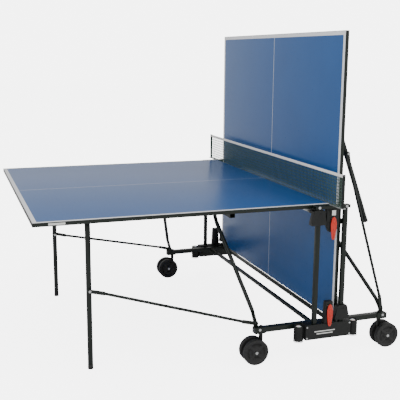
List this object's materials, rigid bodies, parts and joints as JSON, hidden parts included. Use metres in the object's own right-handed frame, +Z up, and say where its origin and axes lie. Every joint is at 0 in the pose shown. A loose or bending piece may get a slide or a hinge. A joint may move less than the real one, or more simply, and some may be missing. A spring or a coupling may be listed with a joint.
{
  "type": "ping pong table",
  "caption": "Folding table tennis table on a wheeled trolley, one half flat in play and the other upright for solo practice, with a fixed net and pull-lever locks.",
  "frame": {"origin": "the floor point under the middle of the net", "axes": "+Z up; X runs along the table, the flat half reaching to -X and the upright half standing at +X; Y runs across it, along the net"},
  "size_m": [1.7895, 1.768, 1.552],
  "materials": {
    "board_paint": "satin blue lacquer on board",
    "frame_paint": "satin powder coat",
    "rim_paint": "satin powder coat",
    "black_plastic": "fine texture",
    "red_plastic": "moulded",
    "wheel_plastic": "moulded",
    "zinc": "zinc plate",
    "foot_rubber": "matte",
    "net_mesh": "knotted mesh",
    "net_tape": "woven tape",
    "ball_white": "matte celluloid"
  },
  "bodies": {
    "trolley": {"rails": "frame_paint", "cross_tubes": "frame_paint", "end_brackets": "frame_paint", "posts": "frame_paint", "post_feet": "frame_paint", "post_bridges": "frame_paint", "bolts": "zinc", "side_boxes": "black_plastic", "side_covers": "black_plastic", "cover_screws": "zinc", "lock_housings": "black_plastic", "lever_pins": "zinc", "net_arms": "zinc", "net_posts": "frame_paint", "net": "net_mesh", "net_tape": "net_tape"},
    "carriage_left": {"sliders_left": "black_plastic", "slider_stubs_left": "zinc"},
    "half_left": {"board_left": "board_paint", "edge_frame_left": "rim_paint", "cross_beam_left": "frame_paint", "brackets_left": "frame_paint", "brace_bolts_left": "zinc"},
    "legs_left": {"leg_frame_left": "frame_paint", "foot_caps_left": "foot_rubber", "leg_bolts_left": "zinc"},
    "links_left": {"links_left": "frame_paint"},
    "braces_left": {"braces_left": "frame_paint"},
    "carriage_right": {"sliders_right": "black_plastic", "slider_stubs_right": "zinc"},
    "half_right": {"board_right": "board_paint", "edge_frame_right": "rim_paint", "cross_beam_right": "frame_paint", "brackets_right": "frame_paint", "brace_bolts_right": "zinc"},
    "legs_right": {"leg_frame_right": "frame_paint", "foot_caps_right": "foot_rubber", "leg_bolts_right": "zinc"},
    "links_right": {"links_right": "frame_paint"},
    "braces_right": {"braces_right": "frame_paint"},
    "lever_upper_near": {"lever_upper_near": "red_plastic"},
    "lever_upper_far": {"lever_upper_far": "red_plastic"},
    "lever_lower_near": {"lever_lower_near": "red_plastic"},
    "lever_lower_far": {"lever_lower_far": "red_plastic"},
    "caster_right_near": {"caster_yoke_right_near": "wheel_plastic", "caster_axle_right_near": "zinc"},
    "wheels_right_near": {"caster_wheels_right_near": "wheel_plastic"},
    "balls_right_near": {"balls_right_near": "ball_white"},
    "caster_right_far": {"caster_yoke_right_far": "wheel_plastic", "caster_axle_right_far": "zinc"},
    "wheels_right_far": {"caster_wheels_right_far": "wheel_plastic"},
    "balls_right_far": {"balls_right_far": "ball_white"},
    "caster_left_near": {"caster_yoke_left_near": "wheel_plastic", "caster_axle_left_near": "zinc"},
    "wheels_left_near": {"caster_wheels_left_near": "wheel_plastic"},
    "balls_left_near": {"balls_left_near": "ball_white"},
    "caster_left_far": {"caster_yoke_left_far": "wheel_plastic", "caster_axle_left_far": "zinc"},
    "wheels_left_far": {"caster_wheels_left_far": "wheel_plastic"},
    "balls_left_far": {"balls_left_far": "ball_white"}
  },
  "joints": [
    {"name": "carriage_left_slide", "type": "slide", "parent": "trolley", "child": "carriage_left", "axis": [0, 0, 1], "range_m": [-0.47201, 0]},
    {"name": "fold_left", "type": "hinge", "parent": "carriage_left", "child": "half_left", "pos_m": [-0.074, 0, 0.728], "axis": [0, 1, 0], "range_deg": [0, 90]},
    {"name": "legs_left_fold", "type": "hinge", "parent": "half_left", "child": "legs_left", "pos_m": [-1.106, 0, 0.729], "axis": [0, 1, 0], "range_deg": [-69.5, 0]},
    {"name": "links_left_swing", "type": "hinge", "parent": "legs_left", "child": "links_left", "pos_m": [-1.106, 0, 0.38313], "axis": [0, 1, 0], "range_deg": [0, 66.13]},
    {"name": "braces_left_swing", "type": "hinge", "parent": "half_left", "child": "braces_left", "pos_m": [-0.48299, 0, 0.706], "axis": [0, 1, 0], "range_deg": [-47.34, 0]},
    {"name": "carriage_right_slide", "type": "slide", "parent": "trolley", "child": "carriage_right", "axis": [0, 0, 1], "range_m": [0, 0.47201]},
    {"name": "fold_right", "type": "hinge", "parent": "carriage_right", "child": "half_right", "pos_m": [0.074, 0, 0.256], "axis": [0, 1, 0], "range_deg": [0, 90]},
    {"name": "legs_right_fold", "type": "hinge", "parent": "half_right", "child": "legs_right", "pos_m": [0.073, 0, 1.288], "axis": [0, 1, 0], "range_deg": [-69.5, 0]},
    {"name": "links_right_swing", "type": "hinge", "parent": "legs_right", "child": "links_right", "pos_m": [0.19413, 0, 0.96403], "axis": [0, 1, 0], "range_deg": [0, 66.13]},
    {"name": "braces_right_swing", "type": "hinge", "parent": "half_right", "child": "braces_right", "pos_m": [0.096, 0, 0.66499], "axis": [0, 1, 0], "range_deg": [-47.34, 0]},
    {"name": "lever_upper_near_pull", "type": "hinge", "parent": "trolley", "child": "lever_upper_near", "pos_m": [0, -0.7965, 0.697], "axis": [-1, 0, 0], "range_deg": [0, 25], "stiffness_Nm_per_rad": 0.05},
    {"name": "lever_upper_far_pull", "type": "hinge", "parent": "trolley", "child": "lever_upper_far", "pos_m": [0, 0.7965, 0.697], "axis": [1, 0, 0], "range_deg": [0, 25], "stiffness_Nm_per_rad": 0.05},
    {"name": "lever_lower_near_pull", "type": "hinge", "parent": "trolley", "child": "lever_lower_near", "pos_m": [0, -0.7965, 0.271], "axis": [-1, 0, 0], "range_deg": [0, 25], "stiffness_Nm_per_rad": 0.05},
    {"name": "lever_lower_far_pull", "type": "hinge", "parent": "trolley", "child": "lever_lower_far", "pos_m": [0, 0.7965, 0.271], "axis": [1, 0, 0], "range_deg": [0, 25], "stiffness_Nm_per_rad": 0.05},
    {"name": "caster_right_near_swivel", "type": "hinge", "parent": "trolley", "child": "caster_right_near", "pos_m": [0.322, -0.723, 0.148], "axis": [0, 0, 1], "continuous": true},
    {"name": "caster_right_near_roll", "type": "hinge", "parent": "caster_right_near", "child": "wheels_right_near", "pos_m": [0.357, -0.723, 0.0625], "axis": [0, 1, 0], "continuous": true},
    {"name": "balls_right_near_lift", "type": "slide", "parent": "trolley", "child": "balls_right_near", "axis": [0, 0, 1], "range_m": [0, 0.09]},
    {"name": "caster_right_far_swivel", "type": "hinge", "parent": "trolley", "child": "caster_right_far", "pos_m": [0.322, 0.723, 0.148], "axis": [0, 0, 1], "continuous": true},
    {"name": "caster_right_far_roll", "type": "hinge", "parent": "caster_right_far", "child": "wheels_right_far", "pos_m": [0.357, 0.723, 0.0625], "axis": [0, 1, 0], "continuous": true},
    {"name": "balls_right_far_lift", "type": "slide", "parent": "trolley", "child": "balls_right_far", "axis": [0, 0, 1], "range_m": [0, 0.09]},
    {"name": "caster_left_near_swivel", "type": "hinge", "parent": "trolley", "child": "caster_left_near", "pos_m": [-0.322, -0.723, 0.148], "axis": [0, 0, 1], "continuous": true},
    {"name": "caster_left_near_roll", "type": "hinge", "parent": "caster_left_near", "child": "wheels_left_near", "pos_m": [-0.357, -0.723, 0.0625], "axis": [0, 1, 0], "continuous": true},
    {"name": "balls_left_near_lift", "type": "slide", "parent": "trolley", "child": "balls_left_near", "axis": [0, 0, 1], "range_m": [0, 0.09]},
    {"name": "caster_left_far_swivel", "type": "hinge", "parent": "trolley", "child": "caster_left_far", "pos_m": [-0.322, 0.723, 0.148], "axis": [0, 0, 1], "continuous": true},
    {"name": "caster_left_far_roll", "type": "hinge", "parent": "caster_left_far", "child": "wheels_left_far", "pos_m": [-0.357, 0.723, 0.0625], "axis": [0, 1, 0], "continuous": true},
    {"name": "balls_left_far_lift", "type": "slide", "parent": "trolley", "child": "balls_left_far", "axis": [0, 0, 1], "range_m": [0, 0.09]}
  ],
  "couplings": [
    {"joint": "carriage_left_slide", "follows": "fold_left", "m_per_rad": -0.30049},
    {"joint": "legs_left_fold", "follows": "fold_left", "ratio": -0.77222},
    {"joint": "links_left_swing", "follows": "fold_left", "ratio": 0.73477},
    {"joint": "braces_left_swing", "follows": "fold_left", "ratio": -0.52597},
    {"joint": "carriage_right_slide", "follows": "fold_right", "m_per_rad": 0.30049},
    {"joint": "legs_right_fold", "follows": "fold_right", "ratio": -0.77222},
    {"joint": "links_right_swing", "follows": "fold_right", "ratio": 0.73477},
    {"joint": "braces_right_swing", "follows": "fold_right", "ratio": -0.52597}
  ]
}
